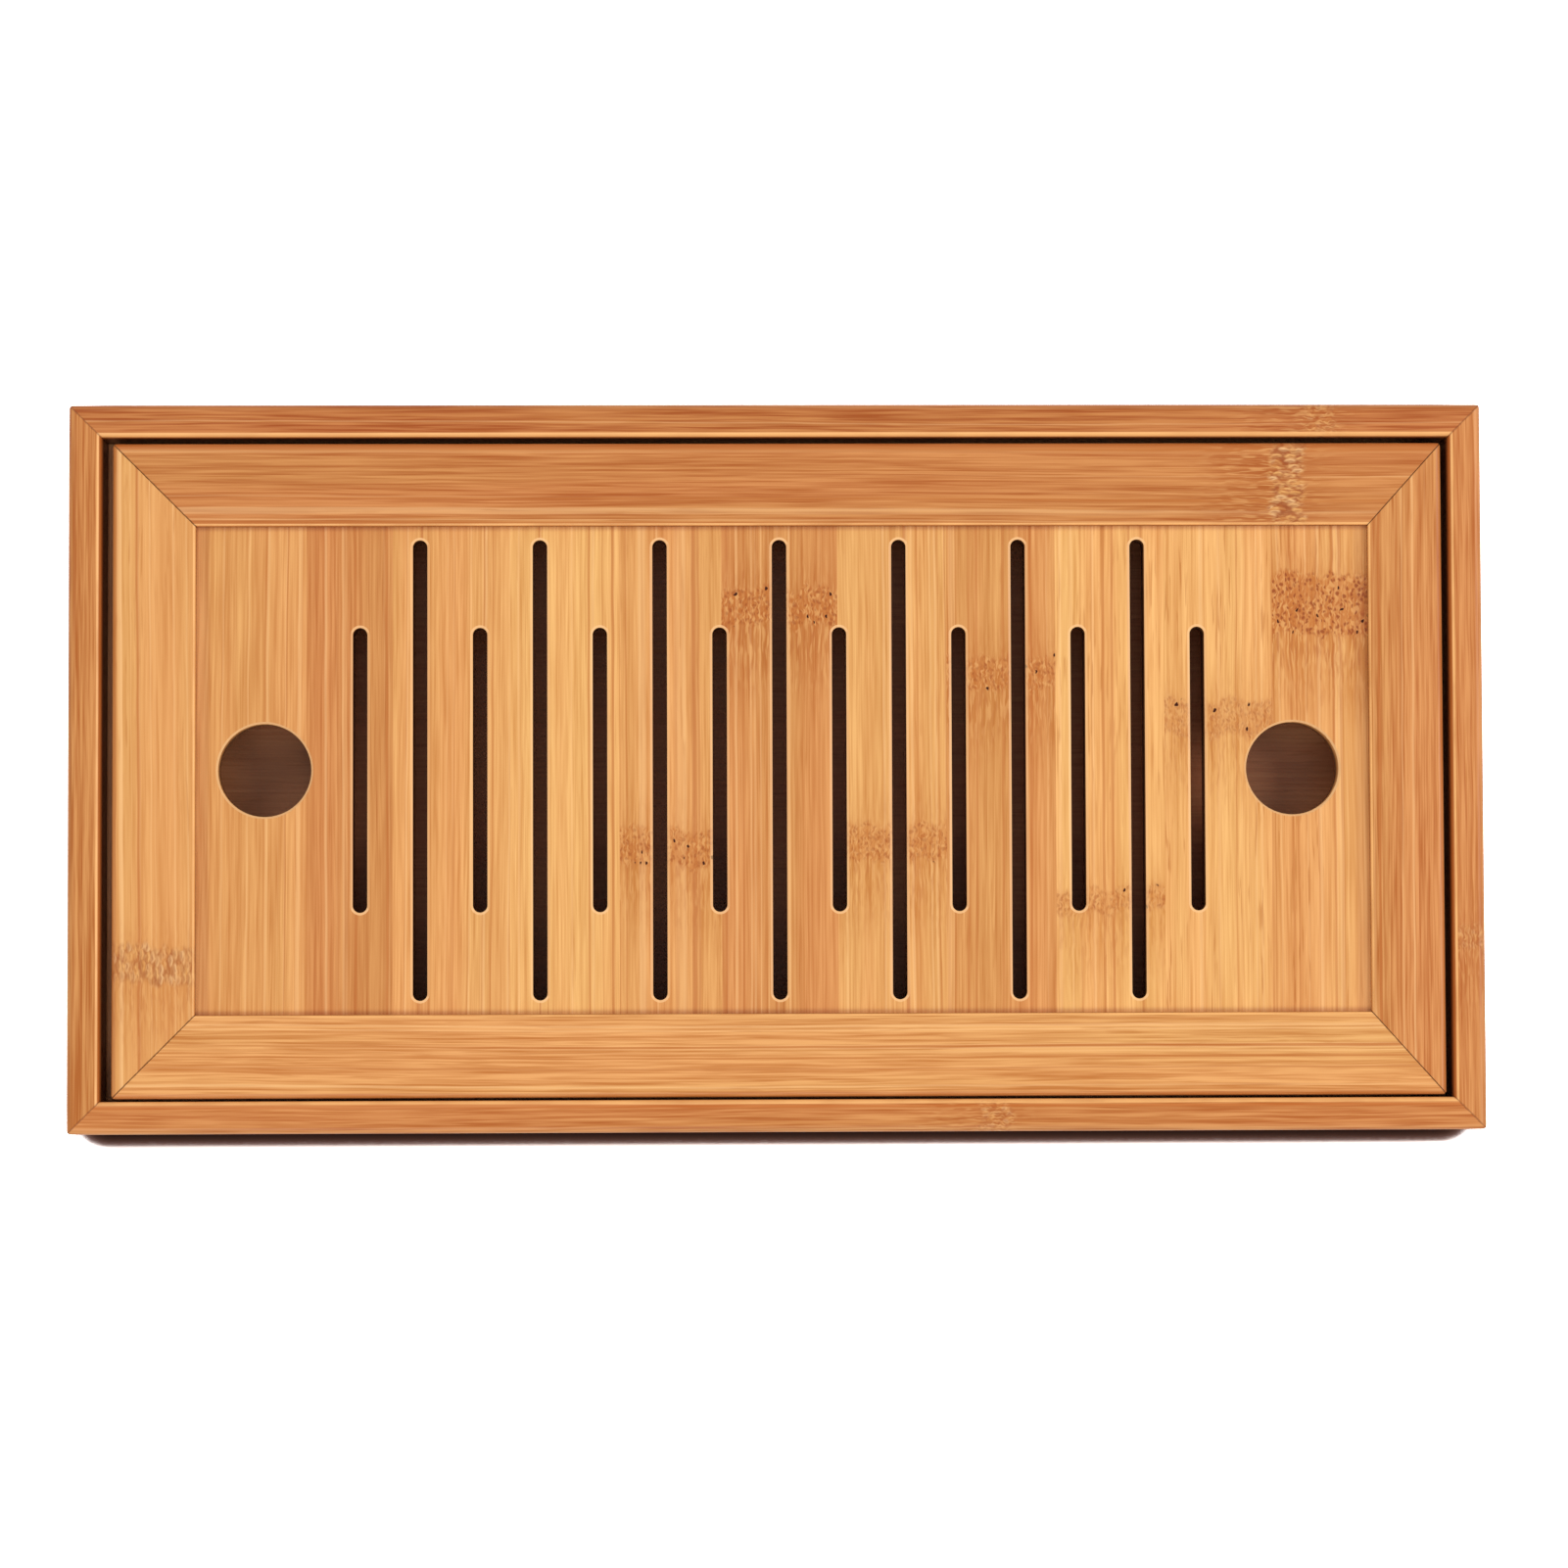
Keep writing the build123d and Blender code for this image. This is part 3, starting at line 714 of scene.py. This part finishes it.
# Studio floor: pale paper that the camera sees as white, and near the tray as dark as the tray
# covers it, from a ramp over its ambient occlusion: place, colour
FLOOR_SIZE, COVER_DISTANCE, COVER_MARGIN = 8.0, 0.008, 0.02
PAPER, TURNED_PAPER = (0.8, 0.8, 0.8, 1.0), (1.0, 1.0, 1.0, 1.0)
WHITE_PAPER = (4.0, 4.0, 4.0, 1.0)
COVER_RAMP = (
    (0.635, (0.02, 0.010, 0.010, 1.0)),
    (0.746, (0.07, 0.035, 0.025, 1.0)),
    (0.816, (0.18, 0.105, 0.090, 1.0)),
    (0.846, (0.50, 0.400, 0.390, 1.0)),
    (0.876, (1.8, 1.8, 1.8, 1.0)),
    (0.94, WHITE_PAPER),
)
bpy.ops.mesh.primitive_plane_add(size=FLOOR_SIZE, location=(0.0, 0.0, 0.0))
floor = bpy.context.object
floor.name = "studio_floor"
paper = empty_material("studio_paper")
g = Graph(paper.node_tree)
cover = g.add("ShaderNodeAmbientOcclusion", samples=64)
cover.inputs["Distance"].default_value = COVER_DISTANCE
ramp = g.fill(g.add("ShaderNodeValToRGB"), cover.outputs["AO"])
stops = ramp.color_ramp.elements
for place, color in COVER_RAMP:
    stops.new(place).color = color
for spare in (0, -1):
    stops.remove(stops[spare])
seen, turned = white_rays(g)
near = seen
plan = g.split(g.add("ShaderNodeTexCoord").outputs["Object"])[:2]
for axis, half in zip(plan, cad_box[1]):
    inside = g.math("LESS_THAN", g.math("ABSOLUTE", axis), half + COVER_MARGIN)
    near = g.math("MULTIPLY", near, inside)
far_color = g.mix(seen, g.mix(turned, PAPER, TURNED_PAPER), WHITE_PAPER)
papers = []
for color in (far_color, ramp.outputs[0]):
    papers.append(g.fill(g.add("ShaderNodeBsdfDiffuse"), color).outputs[0])
either = g.fill(g.add("ShaderNodeMixShader"), near, *papers)
g.feed(g.add("ShaderNodeOutputMaterial").inputs["Surface"], either.outputs[0])
floor.data.materials.append(paper)

# World: soft even light, white where it is seen
SOFT_LIGHT, WHITE_LIGHT = 0.70, 1.0
world = bpy.data.worlds.new("studio")
bpy.context.scene.world = world
world.use_nodes = True
world.node_tree.nodes.clear()
g = Graph(world.node_tree)
white = g.math("MAXIMUM", *white_rays(g))
background = g.add("ShaderNodeBackground")
g.feed(background.inputs["Strength"], g.between(white, SOFT_LIGHT, WHITE_LIGHT))
g.feed(g.add("ShaderNodeOutputWorld").inputs["Surface"], background.outputs[0])

# Three large soft lamps round the tray, aimed at its middle, the strongest to the right:
# name, place, watts
LAMP_SIZE = 0.8
for name, place, energy in (
    ("key", (1.25, 0.15, 1.25), 11.0),
    ("front_fill", (-0.25, -1.25, 1.25), 7.0),
    ("back_fill", (-0.90, 0.90, 1.25), 6.0),
):
    lamp = bpy.data.lights.new(name, "AREA")
    lamp.shape = "SQUARE"
    lamp.size = LAMP_SIZE
    lamp.energy = energy
    lamp_object = bpy.data.objects.new(name, lamp)
    lamp_object.location = place
    lamp_object.rotation_euler = lamp_object.location.to_track_quat("Z", "Y").to_euler()
    bpy.context.scene.collection.objects.link(lamp_object)

# Camera: nearly overhead, slightly to the front and left. Sensor and lens are in millimetres,
# and the turn is in degrees
SENSOR, LENS = 36.0, 103.8
CAMERA_PLACE, CAMERA_TURN = (-0.02185, -0.05451, 1.15), (2.5855, -1.1908, -0.1961)
camera_data = bpy.data.cameras.new("camera")
camera_data.sensor_width = SENSOR
camera_data.lens = LENS
camera = bpy.data.objects.new("camera", camera_data)
camera.location = CAMERA_PLACE
camera.rotation_euler = [radians(angle) for angle in CAMERA_TURN]
bpy.context.scene.collection.objects.link(camera)
bpy.context.scene.camera = camera
bpy.context.scene.view_settings.view_transform = "Standard"
